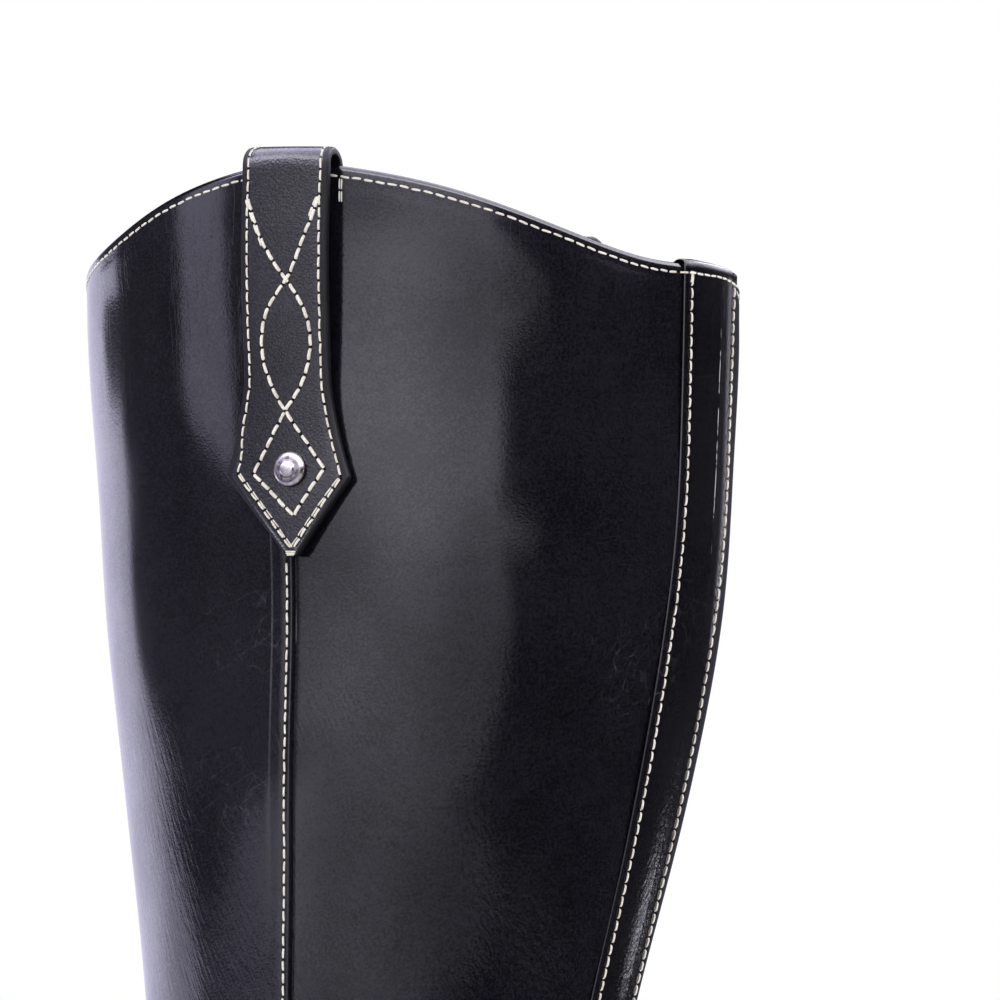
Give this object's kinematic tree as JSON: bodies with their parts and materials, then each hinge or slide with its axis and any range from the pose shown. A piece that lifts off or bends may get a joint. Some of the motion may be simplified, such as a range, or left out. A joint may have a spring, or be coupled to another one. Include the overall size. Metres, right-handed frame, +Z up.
{
  "type": "knee-high pull-on boot",
  "caption": "Left knee-high pull-on leather boot with a dipped collar, riveted pull straps at both sides, a back strap, lapped side seams, a welted sole and a stacked heel.",
  "frame": {"origin": "on the floor in the middle of the boot's length and width, under the heel and forefoot plane", "axes": "+Z up along the shaft, -Y towards the toe, +X towards the outer side of the foot"},
  "size_m": [0.1368, 0.3046, 0.397],
  "materials": {
    "upper_leather": "glossy pull-up leather",
    "strap_leather": "glossy pull-up leather with painted edges",
    "rivet_metal": "polished nickel",
    "sole_leather": "edge-dressed sole leather",
    "welt_leather": "satin",
    "insole_leather": "matt vegetable-tanned leather",
    "heel_leather": "waxed stacked leather",
    "lift_rubber": "matt",
    "thread": "waxed cream thread"
  },
  "bodies": {
    "root": {"upper": "upper_leather", "pull_strap_outer": "strap_leather", "pull_strap_inner": "strap_leather", "back_strap": "strap_leather", "rivet_outer": "rivet_metal", "rivet_inner": "rivet_metal", "outsole": "sole_leather", "welt": "welt_leather", "insole": "insole_leather", "heel_stack": "heel_leather", "top_lift": "lift_rubber"}
  },
  "joints": []
}
